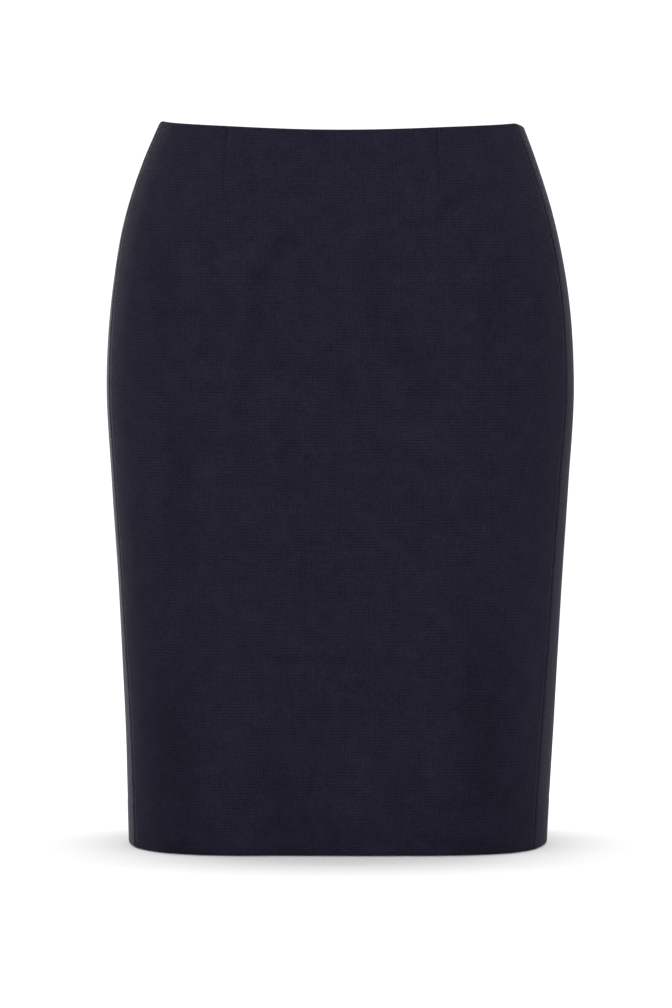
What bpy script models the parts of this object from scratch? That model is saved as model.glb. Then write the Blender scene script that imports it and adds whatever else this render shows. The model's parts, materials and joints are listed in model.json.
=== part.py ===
"""Pencil skirt, hollow and filled out as it is worn, with its waist and hem open.

The cloth is a front panel with two waist darts and two back panels with a dart each. They meet at
the side seams and at the centre back, where a concealed zip closes the top and a vent opens the
hem. Every edge that is finished by folding is part of its panel: the waist edge is turned in and
the hem is turned up.

Metres, +Z up. The front faces -Y, so the wearer's left is +X. The origin is the middle of the
waist opening, level with the highest point of the waist edge. Sizes below are millimetres, and a
depth is measured straight down from the origin.
"""

import functools
import math

import bmesh
import bpy
import numpy as np
from mathutils import Matrix, Vector

MM = 0.001

# Driving sizes
LENGTH = 560.0  # top of the waist edge to the hem
CLOTH = 1.2  # thickness of the suiting
SEAM_GAP = 0.3  # between two pieces that are sewn edge to edge
FOLD = 1.8  # between the middles of a folded edge's two layers
FRONT_DIP = 10.2  # how far the waist edge dips at the centre front, below the side seams
BACK_DIP = 5.0  # and at the centre back
DIP_SHAPE = 0.9  # how evenly it dips between them
LEFT_LOW = 2.6  # how much lower the waist edge sits over the left side seam than over the right
DIP_REACH = 160.0  # depth at which the rows of cloth are level again
TURN = 7.0  # how far the skirt has slipped round its form, towards -X
WAIST_TURNING = 20.0  # height of the turned-in waist edge
HEM_TURNING = 35.0  # height of the turned-up hem

# The worn form. Each row is one level section: its half width, how far its middle has swung in X,
# how far its front and its back stand from the side line, and how square its corners are.
FORM = {
    "depth":      (0.0,   28.0,  75.0,  122.0, 200.0, 280.0, 356.0, 450.0, 560.0),
    "half_width": (140.3, 151.4, 166.5, 175.6, 181.5, 177.5, 172.7, 168.0, 163.1),
    "swing":      (0.0,   -1.0,  -1.2,  -0.6,  -0.3,  -1.0,  -1.2,  -1.1,  -2.4),
    "front":      (80.0,  84.5,  89.0,  90.5,  90.0,  88.5,  87.0,  86.0,  85.0),
    "back":       (80.0,  86.0,  96.0,  102.0, 105.0, 102.0, 98.0,  95.0,  93.0),
    "square":     (3.2,   3.5,   4.0,   4.5,   5.0,   5.4,   5.7,   6.0,   6.0),
}  # fmt: skip
CORNER = 0.62  # how full the sections are between their square corners
# The side seams lie forward of the form's side line.
SIDE_SEAM = {
    "depth":   (0.0,  100.0, 230.0, 360.0, 480.0, 560.0),
    "forward": (21.0, 26.0,  33.0,  36.0,  43.0,  45.0),
}  # fmt: skip

# Darts: distance from the centre line at the waist and at the tip, and the tip's depth
FRONT_DART = {"waist": 80.0, "tip": 82.0, "depth": 62.0}
BACK_DART = {"waist": 76.0, "tip": 82.0, "depth": 120.0}

VENT_TOP = 400.0
VENT_FACING = 40.0  # width of cloth folded in along the vent on the upper side
UNDERLAP = 45.0  # width of cloth that carries on under it
UNDERLAP_INSET = 3.6
UNDERLAP_STEP = 12.0  # width over which the under side steps in to pass below the upper side
UNDERLAP_RISE = 20.0  # and the height over which it does so above the vent

ZIP_BOTTOM = 215.0
ZIP_TOP = 3.0  # below the waist edge
TAPE_WIDTH = 12.0
TAPE = 1.0
TAPE_INSET = 1.4
ZIP_CLEAR = 16.0  # the turned-in waist edge stops this far from the zip
MOUTH = 1.0  # half the gap that the slider's neck keeps open at the top of the zip
MOUTH_HOLD = 12.0  # the gap stays open to this depth below the waist edge
MOUTH_CLOSE = 10.0  # and closes over this much more

HINGE_BELOW_EDGE = 9.0
HINGE_OUT = 2.4  # from the middle of the cloth to the pull's axis
PULL_REST_TILT = math.radians(-2.5)  # the pull's foot leans on the cloth
ROUND = 24  # sides of a round piece of the zip

# Levels of the outside layer, top to bottom, between its two folds
LEVELS = (8, 20, 40, 62, 90, 120, 150, 180, 210, 245, 280, 320, 360, 380, 400, 440, 480, 525, 545)
FOLD_STEPS = 3

NAVY = (0.017, 0.015, 0.027)
TAPE_NAVY = (0.013, 0.012, 0.021)
LACQUER = (0.020, 0.019, 0.030)


# --- the form -----------------------------------------------------------------------------------


def along(table, column, depth):
    """A column of a table at any depth, on a cubic curve through its rows."""
    depths = np.array(table["depth"])
    values = np.array(table[column])
    slopes = np.gradient(values, depths)
    i = int(np.clip(np.searchsorted(depths, depth) - 1, 0, len(depths) - 2))
    span = depths[i + 1] - depths[i]
    t = (np.clip(depth, depths[0], depths[-1]) - depths[i]) / span
    start = (1 + 2 * t) * (1 - t) ** 2 * values[i] + t * (1 - t) ** 2 * span * slopes[i]
    end = t * t * (3 - 2 * t) * values[i + 1] - t * t * (1 - t) * span * slopes[i + 1]
    return float(start + end)


@functools.lru_cache(maxsize=None)
def section(depth):
    """Half of the level section: points from the centre front round +X to the centre back, with
    each one's distance along the cloth. It also gives the distance to the side line."""
    half_width = along(FORM, "half_width", depth)
    square = along(FORM, "square", depth)
    turn = np.linspace(0.0, np.pi / 2, 500)
    x = half_width * np.sin(turn)
    height = (1 - np.sin(turn) ** square) ** CORNER
    front = np.stack([x, -along(FORM, "front", depth) * height], axis=1)
    back = np.stack([x, along(FORM, "back", depth) * height], axis=1)
    points = np.concatenate([front, back[-2::-1]])
    steps = np.hypot(*np.diff(points, axis=0).T)
    distance = np.concatenate([[0.0], np.cumsum(steps)])
    return points, distance, distance[len(front) - 1]


def half_girth(depth):
    return section(depth)[1][-1]


def form_point(depth, distance):
    """(x, y) on the form's section, at a distance round from the centre front, + towards +X."""
    points, distances, _ = section(depth)
    half = distances[-1]
    distance = (distance + half) % (2 * half) - half
    x = np.interp(abs(distance), distances, points[:, 0])
    y = np.interp(abs(distance), distances, points[:, 1])
    return np.array([math.copysign(x, distance), y])


def place(depth, around, inset):
    """A point of the cloth: depth down, around from the centre front, inset inwards."""
    reach = 0.8
    here = form_point(depth, around - TURN)
    before = form_point(depth, around - TURN - reach)
    after = form_point(depth, around - TURN + reach)
    run = (after - before) / np.linalg.norm(after - before)
    inwards = np.array([-run[1], run[0]])
    x, y = here + inwards * inset
    return Vector((x + along(FORM, "swing", depth), y, -depth)) * MM


def side_seam(depth):
    """Distance round from the centre front to a side seam."""
    return section(depth)[2] - along(SIDE_SEAM, "forward", depth)


def ease(t):
    t = min(max(t, 0.0), 1.0)
    return t * t * (3 - 2 * t)


def dipped(level, around):
    """The depth of a level of the cloth: the waist edge dips at front and back and sits lower on
    the left, and the levels below it flatten out."""
    seam = side_seam(0.0)
    half = half_girth(0.0)
    if abs(around) < seam:
        dip, share = FRONT_DIP, 1 - abs(around) / seam
    else:
        dip, share = BACK_DIP, min((abs(around) - seam) / (half - seam), 1.0)
    low = LEFT_LOW * (1 + math.copysign(1 - share, around)) / 2
    fade = max(0.0, 1 - level / DIP_REACH) ** 2
    return level + (low + dip * math.sin(math.pi / 2 * share) ** DIP_SHAPE) * fade


# --- sheets of cloth ----------------------------------------------------------------------------


def material(name, colour, roughness, metallic=0.0):
    made = bpy.data.materials.new(name)
    made.use_nodes = True
    shader = made.node_tree.nodes["Principled BSDF"]
    shader.inputs["Base Color"].default_value = (*colour, 1.0)
    shader.inputs["Roughness"].default_value = roughness
    shader.inputs["Metallic"].default_value = metallic
    return made


def fold(level, way):
    """(level, inset) between the two layers of a fold, from the outside layer in. way is +1 for a
    fold that turns up and -1 for one that turns down."""
    radius = FOLD / 2
    angles = [math.pi * step / FOLD_STEPS for step in range(1, FOLD_STEPS)]
    return [(level + way * radius * math.sin(a), radius * (1 - math.cos(a))) for a in angles]


def section_path(inner_levels):
    """(level, inset) down a panel: the turned-in waist edge, the outside and the turned-up hem."""
    top = FOLD / 2
    bottom = LENGTH - FOLD / 2
    waist = [(WAIST_TURNING, FOLD), (WAIST_TURNING / 2, FOLD), (top, FOLD)]
    waist += fold(top, -1)[::-1]
    outside = [(top, 0.0), *((level, 0.0) for level in LEVELS), (bottom, 0.0)]
    hem = [*fold(bottom, 1), (bottom, FOLD)]
    hem += [(level, FOLD) for level in inner_levels]
    return waist + outside + hem


def sheet(name, knots, lines, path, inset_at, keep, dart, thickness, finish, parent):
    """A piece of cloth, as a grid of columns and path levels with a wall thickness. Columns are
    spread evenly between the lines that the piece is drawn by: their distances round from the
    centre front, at a level of the cloth that lies at some depth."""
    columns = knots[-1]
    rows = len(path) - 1
    bm = bmesh.new()
    column_of = bm.verts.layers.int.new("column")
    row_of = bm.verts.layers.int.new("row")
    bmesh.ops.create_grid(bm, x_segments=columns, y_segments=rows, size=0.5)
    for vert in bm.verts:
        vert[column_of] = round((vert.co.x + 0.5) * columns)
        vert[row_of] = round((0.5 - vert.co.y) * rows)

    def corner(face):
        return min(v[column_of] for v in face.verts), min(v[row_of] for v in face.verts)

    spare = [face for face in bm.faces if not keep(*corner(face))]
    bmesh.ops.delete(bm, geom=spare, context="FACES")
    slits = [edge for edge in bm.edges if in_a_dart(edge, column_of, row_of, path, dart)]
    bmesh.ops.split_edges(bm, edges=slits)

    for vert in bm.verts:
        column, row = vert[column_of], vert[row_of]
        level, inset = path[row]
        leg = 0.0
        if column in dart["columns"] and level < dart["depth"]:
            middle = np.mean([corner(face)[0] + 0.5 for face in vert.link_faces])
            leg = math.copysign(SEAM_GAP / 2, middle - column)
        depth = dipped(level, float(np.interp(column, knots, lines(level, level))))
        around = float(np.interp(column, knots, lines(level, depth)))
        vert.co = place(depth, around + leg, inset + inset_at(depth, around))

    mesh = bpy.data.meshes.new(name)
    bm.to_mesh(mesh)
    bm.free()
    mesh.shade_smooth()
    mesh.materials.append(finish)
    obj = bpy.data.objects.new(name, mesh)
    obj.parent = parent
    wall = obj.modifiers.new("Wall", "SOLIDIFY")
    wall.thickness = thickness * MM
    wall.offset = 0.0
    wall.use_even_offset = True
    return obj


def in_a_dart(edge, column_of, row_of, path, dart):
    """Does this edge lie along a dart's seam, above its tip?"""
    columns = {vert[column_of] for vert in edge.verts}
    lowest = max(path[vert[row_of]][0] for vert in edge.verts)
    return len(columns) == 1 and columns <= set(dart["columns"]) and lowest <= dart["depth"]


def dart_line(dart, level):
    return dart["waist"] + (dart["tip"] - dart["waist"]) * level / dart["depth"]


def no_inset(_depth, _around):
    return 0.0


def front_panel(finish, parent):
    """Side seam to side seam, with a dart on each side of the centre front."""
    knots = (0, 9, 13, 17, 26)
    path = section_path((LENGTH - HEM_TURNING / 2, LENGTH - HEM_TURNING))

    def lines(level, depth):
        edge = side_seam(depth) - SEAM_GAP / 2
        dart = dart_line(FRONT_DART, level)
        return -edge, -dart, 0.0, dart, edge

    dart = {"columns": knots[1:4:2], "depth": FRONT_DART["depth"]}
    return sheet(
        "front_panel", knots, lines, path, no_inset, lambda *_: True, dart, CLOTH, finish, parent
    )


def mouth(level):
    """Half the gap between the two edges at the centre back: the slider holds it open."""
    closing = ease((MOUTH_HOLD + MOUTH_CLOSE - level) / MOUTH_CLOSE)
    return SEAM_GAP / 2 + (MOUTH - SEAM_GAP / 2) * closing


def back_panel(name, side, finish, parent):
    """A side seam to the centre back. side is +1 on the wearer's left, whose edge lies over the
    vent, and -1 on the right, whose edge carries on under it."""
    extra = 0 if side > 0 else 3
    knots = tuple(np.array((0, 2, 4, 8, 17)) + extra)
    if extra:
        knots = (0, *knots)
    facing_levels = [level for level in LEVELS[::-1] if VENT_TOP <= level < LENGTH - HEM_TURNING]
    path = section_path((LENGTH - HEM_TURNING / 2, LENGTH - HEM_TURNING, *facing_levels))
    hem_rows = len(path) - 1 - len(facing_levels)
    outside_row = path.index((FOLD / 2, 0.0))

    def lines(level, depth):
        half = half_girth(depth)
        distances = [
            mouth(level),
            ZIP_CLEAR,
            VENT_FACING,
            dart_line(BACK_DART, level),
            half - side_seam(depth) - SEAM_GAP / 2,
        ]
        if extra:
            distances.insert(0, -UNDERLAP)
        return [side * (half - distance) for distance in distances]

    def inset_at(depth, around):
        """The under side steps in towards the vent's edge, to pass below the upper side."""
        if side > 0:
            return 0.0
        distance = half_girth(depth) - abs(around)
        inwards = ease((depth - VENT_TOP + UNDERLAP_RISE) / UNDERLAP_RISE)
        return UNDERLAP_INSET * inwards * ease((UNDERLAP_STEP - distance) / UNDERLAP_STEP)

    def keep(column, row):
        level = path[row][0]
        if row < outside_row - FOLD_STEPS and column < extra + 2:
            return False  # the zip's tape lies here
        if column < extra and (row <= outside_row or level < VENT_TOP):
            return False  # the underlap starts at the vent
        if row >= hem_rows:
            return side > 0 and column < knots[2]  # the vent's facing
        return True

    dart = {"columns": (knots[-2],), "depth": BACK_DART["depth"]}
    return sheet(name, knots, lines, path, inset_at, keep, dart, CLOTH, finish, parent)


def zip_tape(name, side, finish, parent):
    """One side of the zip's tape, behind the edge of its back panel."""
    knots = (0, 2)
    levels = [ZIP_TOP, *(level for level in LEVELS if level < ZIP_BOTTOM), ZIP_BOTTOM]
    path = [(level, TAPE_INSET) for level in levels]

    def lines(level, depth):
        half = half_girth(depth)
        return side * (half - mouth(level)), side * (half - mouth(level) - TAPE_WIDTH)

    no_dart = {"columns": (), "depth": 0.0}
    return sheet(
        name, knots, lines, path, no_inset, lambda *_: True, no_dart, TAPE, finish, parent
    )


# --- the zip's slider and pull ------------------------------------------------------------------


def add_object(name, bm, parent, finish=None):
    mesh = bpy.data.meshes.new(name)
    bmesh.ops.recalc_face_normals(bm, faces=bm.faces)
    bm.to_mesh(mesh)
    bm.free()
    obj = bpy.data.objects.new(name, mesh)
    obj.parent = parent
    if finish:
        mesh.materials.append(finish)
    return obj


def block(bm, low, high):
    """A box between two corners, in millimetres."""
    low, high = Vector(low), Vector(high)
    shape = Matrix.Translation((low + high) / 2 * MM) @ Matrix.Diagonal((*(high - low) * MM, 1))
    return bmesh.ops.create_cube(bm, size=1.0, matrix=shape)["verts"]


def disc(bm, radius, low, high, centre, axis):
    """A cylinder along X or Y from low to high, round a centre, in millimetres."""
    turn = Matrix.Rotation(math.pi / 2, 4, "Y" if axis == "X" else "X")
    middle = Vector(centre)
    middle["XYZ".index(axis)] = (low + high) / 2
    made = bmesh.ops.create_cone(
        bm,
        cap_ends=True,
        segments=ROUND,
        radius1=radius * MM,
        radius2=radius * MM,
        depth=(high - low) * MM,
        matrix=Matrix.Translation(middle * MM) @ turn,
    )
    return made["verts"]


def hull(bm):
    """Replaces all that the mesh holds by one skin pulled round its points."""
    bmesh.ops.delete(bm, geom=bm.edges[:], context="EDGES_FACES")
    bmesh.ops.convex_hull(bm, input=bm.verts[:])
    loose = [vert for vert in bm.verts if not vert.link_faces]
    bmesh.ops.delete(bm, geom=loose, context="VERTS")


def joined(obj, shapes, helpers, operation="UNION"):
    """Joins helper shapes to an object, or cuts them from it, with Boolean modifiers."""
    for number, bm in enumerate(shapes):
        helper = add_object(f"{obj.name}_helper_{operation.lower()}_{number}", bm, obj.parent)
        helper.location = obj.location
        helper.rotation_euler = obj.rotation_euler
        helper.hide_render = True
        helper.display_type = "WIRE"
        helpers.objects.link(helper)
        step = obj.modifiers.new(f"{operation.title()} {number}", "BOOLEAN")
        step.operation = operation
        step.object = helper
    return obj


def zip_slider(finish, parent, helpers):
    """The body wraps the coil inside the skirt, and its neck comes out between the two edges to
    an eye that holds the pull."""
    bm = bmesh.new()
    block(bm, (-3.5, -5.3, -5.0), (3.5, -2.3, 4.0))
    bmesh.ops.bevel(
        bm, geom=bm.edges[:], offset=0.7 * MM, segments=2, profile=0.5, affect="EDGES"
    )
    body = add_object("zip_slider", bm, parent, finish)
    neck = bmesh.new()
    block(neck, (-0.55, -3.0, -1.5), (0.55, 1.25, 1.5))
    eye = bmesh.new()
    disc(eye, 1.7, -0.55, 0.55, (0, HINGE_OUT, 0), "X")
    joined(body, [neck, eye], helpers)
    hole = bmesh.new()
    disc(hole, 0.8, -2.0, 2.0, (0, HINGE_OUT, 0), "X")
    return joined(body, [hole], helpers, "DIFFERENCE")


def zip_pull(finish, parent, helpers):
    """A drop-shaped tab that hangs from a pin through the slider's eye."""
    tab = bmesh.new()
    disc(tab, 1.9, -0.5, 0.5, (0, 0, -4.4), "Y")
    disc(tab, 2.9, -0.5, 0.5, (0, 0, -18.6), "Y")
    hull(tab)
    pull = add_object("zip_pull", tab, parent, finish)
    pull.location = (0, HINGE_OUT * MM, 0)
    pull.rotation_euler = (PULL_REST_TILT, 0, 0)
    shapes = []
    for low, high in ((-1.9, -0.9), (0.9, 1.9)):
        cheek = bmesh.new()
        disc(cheek, 1.2, low, high, (0, 0, 0), "X")
        block(cheek, (low, -0.45, -4.0), (high, 0.45, -3.0))
        hull(cheek)
        shapes.append(cheek)
    pin = bmesh.new()
    disc(pin, 0.5, -1.4, 1.4, (0, 0, 0), "X")
    shapes.append(pin)
    return joined(pull, shapes, helpers)


# --- the skirt ----------------------------------------------------------------------------------


def empty(name, collection, parent=None):
    made = bpy.data.objects.new(name, None)
    made.empty_display_size = 0.02
    made.parent = parent
    collection.objects.link(made)
    return made


def main():
    for old in list(bpy.data.objects):
        bpy.data.objects.remove(old, do_unlink=True)
    skirt = bpy.data.collections.new("pencil_skirt")
    helpers = bpy.data.collections.new("helpers")
    bpy.context.scene.collection.children.link(skirt)
    bpy.context.scene.collection.children.link(helpers)

    suiting = material("suiting", NAVY, 0.92)
    tape = material("zip_tape", TAPE_NAVY, 0.85)
    lacquer = material("zip_lacquer", LACQUER, 0.35, 0.6)

    waist = empty("waist", skirt)
    pieces = [
        front_panel(suiting, waist),
        back_panel("back_panel_left", 1, suiting, waist),
        back_panel("back_panel_right", -1, suiting, waist),
        zip_tape("zip_tape_left", 1, tape, waist),
        zip_tape("zip_tape_right", -1, tape, waist),
    ]

    # The zip's metal stands square to the cloth at the centre back.
    level = HINGE_BELOW_EDGE
    depth = dipped(level, half_girth(level))
    above = place(depth - HINGE_BELOW_EDGE, half_girth(depth - HINGE_BELOW_EDGE), 0.0)
    below = place(depth + HINGE_BELOW_EDGE, half_girth(depth + HINGE_BELOW_EDGE), 0.0)
    hinge = empty("zip_seat", skirt, waist)
    hinge.location = place(depth, half_girth(depth), 0.0)
    hinge.rotation_euler = (math.atan2(below.y - above.y, above.z - below.z), 0, 0)
    bpy.context.view_layer.update()
    pieces.append(zip_slider(lacquer, hinge, helpers))
    pieces.append(zip_pull(lacquer, hinge, helpers))
    for piece in pieces:
        skirt.objects.link(piece)


main()
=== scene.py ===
"""Pencil skirt in brushed navy suiting, hollow and filled out as on a wearer.

Three pieces of suiting carry the look: the front with its two waist darts and the two backs, which
meet over a concealed zip and, at the hem, over a vent. Each is one sheet that follows its whole
cut: the waist edge turned in, the hem turned up, the seam allowances folded back and pressed open,
the vent's facing and the underlap. The dart tucks, the overlocked raw edges, the hem's hand
stitches and the zip with its tapes, coils, slider and pull are pieces of their own.

The cloth's own sizes are millimetres. A level is measured down the cloth from the waist edge, and
a depth is measured straight down from the middle of the waist opening.
"""

import functools
import json
import math

import bpy
import numpy as np
from mathutils import Matrix, Vector


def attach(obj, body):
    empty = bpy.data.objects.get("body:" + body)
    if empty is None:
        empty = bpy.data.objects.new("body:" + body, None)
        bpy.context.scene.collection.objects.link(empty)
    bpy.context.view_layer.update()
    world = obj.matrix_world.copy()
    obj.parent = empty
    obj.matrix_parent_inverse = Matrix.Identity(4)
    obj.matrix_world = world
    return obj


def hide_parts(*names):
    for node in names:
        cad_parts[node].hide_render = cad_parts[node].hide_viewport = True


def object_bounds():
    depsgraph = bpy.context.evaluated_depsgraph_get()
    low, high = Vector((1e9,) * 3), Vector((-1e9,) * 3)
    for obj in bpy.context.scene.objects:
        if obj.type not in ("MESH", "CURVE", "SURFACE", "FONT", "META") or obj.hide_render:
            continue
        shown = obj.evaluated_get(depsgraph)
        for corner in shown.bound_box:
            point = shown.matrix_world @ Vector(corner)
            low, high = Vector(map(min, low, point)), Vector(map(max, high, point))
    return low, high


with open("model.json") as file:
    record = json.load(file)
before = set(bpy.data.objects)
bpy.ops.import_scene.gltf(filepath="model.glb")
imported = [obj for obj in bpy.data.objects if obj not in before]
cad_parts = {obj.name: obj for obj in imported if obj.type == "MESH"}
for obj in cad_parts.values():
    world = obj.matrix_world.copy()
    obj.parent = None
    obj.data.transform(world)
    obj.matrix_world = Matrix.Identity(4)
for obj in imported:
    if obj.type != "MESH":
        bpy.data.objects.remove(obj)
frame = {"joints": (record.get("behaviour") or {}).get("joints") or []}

CAD_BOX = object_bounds()
MM = 0.001
HANDS = (("left", 1), ("right", -1))  # the wearer's, and which way along X each lies

# --- sizes --------------------------------------------------------------------------------------

LENGTH = 560.0
CLOTH = 1.2
WAIST_TURNING = 20.0
HEM_TURNING = 35.0
HEM_EDGE = LENGTH - HEM_TURNING  # the level of the hem's raw edge, inside
ALLOWANCE = 16.0
SEAM_GAP = 0.1  # the sewn edges meet, but for this much
RADIUS = 0.7  # of a pressed fold, at the middle of the cloth
UNDER = 2 * RADIUS  # from the middle of the cloth to the middle of the layer folded under it
LIP = CLOTH / 2 + RADIUS  # from a fold's outermost face back to where the cloth is flat
TOP = RADIUS  # the level where the waist edge's fold starts
BOTTOM = LENGTH - RADIUS  # and the hem's
FRONT_DIP = 10.2  # of the waist edge, at the centre front
BACK_DIP = 5.0
DIP_SHAPE = 0.9
DIP_REACH = 160.0  # how far down the cloth the dips can be followed
LEFT_LOW = 2.6  # the waist edge over the left side seam, below the right one
TURN = 7.0  # how far the skirt has slipped round its form

# The filled-out form at each depth: half its width, how far its middle lies to the left, how far
# its front and its back stand off, and how square its section is.
FORM = {
    "depth":      (0.0,   28.0,  75.0,  122.0, 200.0, 280.0, 356.0, 450.0, 560.0),
    "half_width": (140.3, 151.4, 166.5, 175.6, 181.5, 177.5, 172.7, 168.0, 163.1),
    "swing":      (0.0,   -1.0,  -1.2,  -0.6,  -0.3,  -1.0,  -1.2,  -1.1,  -2.4),
    "front":      (80.0,  84.5,  89.0,  90.5,  90.0,  88.5,  87.0,  86.0,  85.0),
    "back":       (80.0,  86.0,  96.0,  102.0, 105.0, 102.0, 98.0,  95.0,  93.0),
    "square":     (3.2,   3.5,   4.0,   4.5,   5.0,   5.4,   5.7,   6.0,   6.0),
}
CORNER = 0.62  # the lower, the fuller the section's corners
SIDE_SEAM = {  # how far in front of the fold of the side it runs
    "depth":   (0.0,  100.0, 230.0, 360.0, 480.0, 560.0),
    "forward": (21.0, 26.0,  33.0,  36.0,  43.0,  45.0),
}
# How far from the centre a dart starts and ends, how long it is, and how much it takes in
FRONT_DART = {"waist": 80.0, "tip": 82.0, "depth": 62.0, "intake": 11.0}
BACK_DART = {"waist": 76.0, "tip": 82.0, "depth": 120.0, "intake": 13.0}
DART_FADE = 14.0  # the stretch above its tip where its line dies away

VENT_TOP = 400.0
VENT_FACING = 40.0
UNDERLAP = 45.0
UNDERLAP_INSET = 3.6  # how far it lies behind the right back's face
UNDERLAP_STEP = 12.0  # the width, and the height, in which it steps back
UNDERLAP_RISE = 20.0

ZIP_BOTTOM = 215.0
ZIP_TOP = 3.0
TAPE_WIDTH = 12.0
TAPE = 0.5
TAPE_INSET = 2.35
MOUTH = 1.0  # half the gap that the slider holds open between the back's edges
MOUTH_HOLD = 12.0  # how far down it stays open, and the stretch in which it closes
MOUTH_CLOSE = 10.0
HINGE_BELOW_EDGE = 9.0
HINGE_OUT = 2.4
PULL_REST_TILT = math.radians(-2.5)

FOLD_STEPS = 6
FOLD = [math.pi * step / FOLD_STEPS for step in range(FOLD_STEPS + 1)]
GRID = 4.0  # the cloth's rows lie about this far apart

# How far from a seam or a dart the nearby columns of a sheet lie
BY_SEAM = (0.0, 0.5, 1.1, 1.9, 2.9, 4.2, 5.8, 7.8, 10.2, 12.7)
BY_DART = (0.0, 0.4, 0.85, 1.4, 2.2, 3.4, 5.2)
BY_LINE = (0.0,)

# Creases of the worn cloth: the route of each, as (round from the centre front, depth), its half
# width, and how far it stands out, or in where negative.
FRONT_CREASES = (
    (((-24, 80), (-33, 92), (-45, 108), (-56, 134), (-61, 170), (-67, 208), (-73, 250)), 6.5, -1.1),
    (((-42, 158), (-47, 172), (-31, 197), (-20, 214)), 7.0, -0.7),
    (((-111, 238), (-113, 262), (-116, 300), (-116, 345)), 11.0, -1.0),
    (((80, 82), (87, 71), (96, 62), (108, 54)), 5.5, -1.2),
    (((42, 158), (60, 180), (70, 204), (66, 226)), 14.0, -0.8),
    (((-8, 192), (10, 210), (26, 214)), 13.0, -0.7),
    (((38, 246), (62, 243), (90, 250)), 8.0, 0.6),
    (((-78, 414), (-40, 411), (20, 414), (62, 411), (92, 416)), 4.5, -0.55),
    (((-136, 96), (-128, 128), (-126, 168)), 9.0, -0.8),
    (((126, 120), (118, 158), (121, 206)), 10.0, -0.7),
    (((-118, 400), (-122, 452), (-120, 510), (-117, 556)), 22.0, -1.3),
    (((112, 372), (116, 440), (118, 500), (115, 556)), 22.0, -1.3),
    (((20, 470), (24, 510), (30, 556)), 17.0, 0.7),
    (((-44, 486), (-40, 520), (-36, 556)), 15.0, -0.6),
    (((-16, 64), (12, 76), (44, 74)), 9.0, -0.4),
    (((24, 94), (29, 124), (30, 160)), 10.0, -0.6),
)
# The same on the backs, with the way round measured from the centre back: + to the wearer's left.
BACK_CREASES = (
    (((30, 128), (58, 141), (92, 139), (126, 126)), 9.0, -1.2),
    (((-26, 140), (-60, 150), (-90, 143)), 8.0, -1.0),
    (((18, 236), (52, 246), (86, 240), (112, 226)), 9.0, -1.1),
    (((-20, 226), (-56, 243), (-104, 240)), 10.0, -1.3),
    (((24, 262), (60, 276), (84, 272)), 7.0, -0.6),
    (((116, 150), (128, 200), (124, 262)), 11.0, -1.0),
    (((-122, 168), (-131, 214), (-126, 280)), 11.0, -1.1),
    (((-22, 392), (-40, 410), (-72, 424)), 9.0, -0.9),
    (((20, 396), (34, 424), (38, 470)), 10.0, -0.9),
    (((92, 420), (98, 480), (94, 556)), 19.0, -1.2),
    (((-86, 430), (-94, 490), (-92, 556)), 18.0, -1.2),
    (((58, 500), (60, 530), (64, 556)), 14.0, 0.7),
    (((-48, 80), (-56, 100), (-76, 128)), 7.0, -0.7),
    (((50, 70), (58, 96), (78, 126)), 7.0, -0.6),
)
CREASE_STEPS = 24
SHOULDER = 0.32  # of a crease, as a share of its height

# --- the form -----------------------------------------------------------------------------------


def ease(t):
    t = np.clip(t, 0.0, 1.0)
    return t * t * (3 - 2 * t)


def bell(x):
    return np.exp(-x * x)


def along(table, column, depth):
    """A column of a table at any depths, on a cubic curve through its rows."""
    depths = np.array(table["depth"])
    values = np.array(table[column])
    slopes = np.gradient(values, depths)
    i = np.clip(np.searchsorted(depths, depth) - 1, 0, len(depths) - 2)
    span = depths[i + 1] - depths[i]
    t = (np.clip(depth, depths[0], depths[-1]) - depths[i]) / span
    start = (1 + 2 * t) * (1 - t) ** 2 * values[i] + t * (1 - t) ** 2 * span * slopes[i]
    end = t * t * (3 - 2 * t) * values[i + 1] - t * t * (1 - t) * span * slopes[i + 1]
    return start + end


@functools.lru_cache(maxsize=None)
def form():
    """Half of each level section of the form, on a lattice of depths and shares of the way from
    the centre front to the centre back, with the girths that the cloth is measured by."""
    depths = np.arange(-4.0, LENGTH + 6.0, 2.0)
    turn = np.linspace(0.0, np.pi / 2, 500)
    shares = np.linspace(0.0, 1.0, 1001)
    rise = np.sin(turn)
    xs, ys, halves, sides = [], [], [], []
    for depth in depths:
        height = (1 - rise ** along(FORM, "square", depth)) ** CORNER
        x = along(FORM, "half_width", depth) * rise
        front, back = -along(FORM, "front", depth) * height, along(FORM, "back", depth) * height
        x, y = np.concatenate([x, x[-2::-1]]), np.concatenate([front, back[-2::-1]])
        distance = np.concatenate([[0.0], np.cumsum(np.hypot(np.diff(x), np.diff(y)))])
        xs.append(np.interp(shares * distance[-1], distance, x))
        ys.append(np.interp(shares * distance[-1], distance, y))
        halves.append(distance[-1])
        sides.append(distance[len(turn) - 1])
    return depths, np.array(xs), np.array(ys), np.array(halves), np.array(sides)


def half_girth(depth):
    return np.interp(depth, form()[0], form()[3])


def side_seam(depth):
    """Distance round from the centre front to a side seam."""
    return np.interp(depth, form()[0], form()[4]) - along(SIDE_SEAM, "forward", depth)


def form_point(depth, distance):
    """x and y on the form, at a distance round from the centre front, + towards +X."""
    depths, xs, ys, _, _ = form()
    half = half_girth(depth)
    distance = (distance + half) % (2 * half) - half
    row = np.clip((depth - depths[0]) / (depths[1] - depths[0]), 0, len(depths) - 1.001)
    column = np.clip(np.abs(distance) / half, 0, 1) * (xs.shape[1] - 1)
    i, j = row.astype(int), np.minimum(column.astype(int), xs.shape[1] - 2)
    down, on = row - i, column - j

    def blend(grid):
        upper = grid[i, j] * (1 - on) + grid[i, j + 1] * on
        lower = grid[i + 1, j] * (1 - on) + grid[i + 1, j + 1] * on
        return upper * (1 - down) + lower * down

    return np.copysign(blend(xs), distance), blend(ys)


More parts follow.
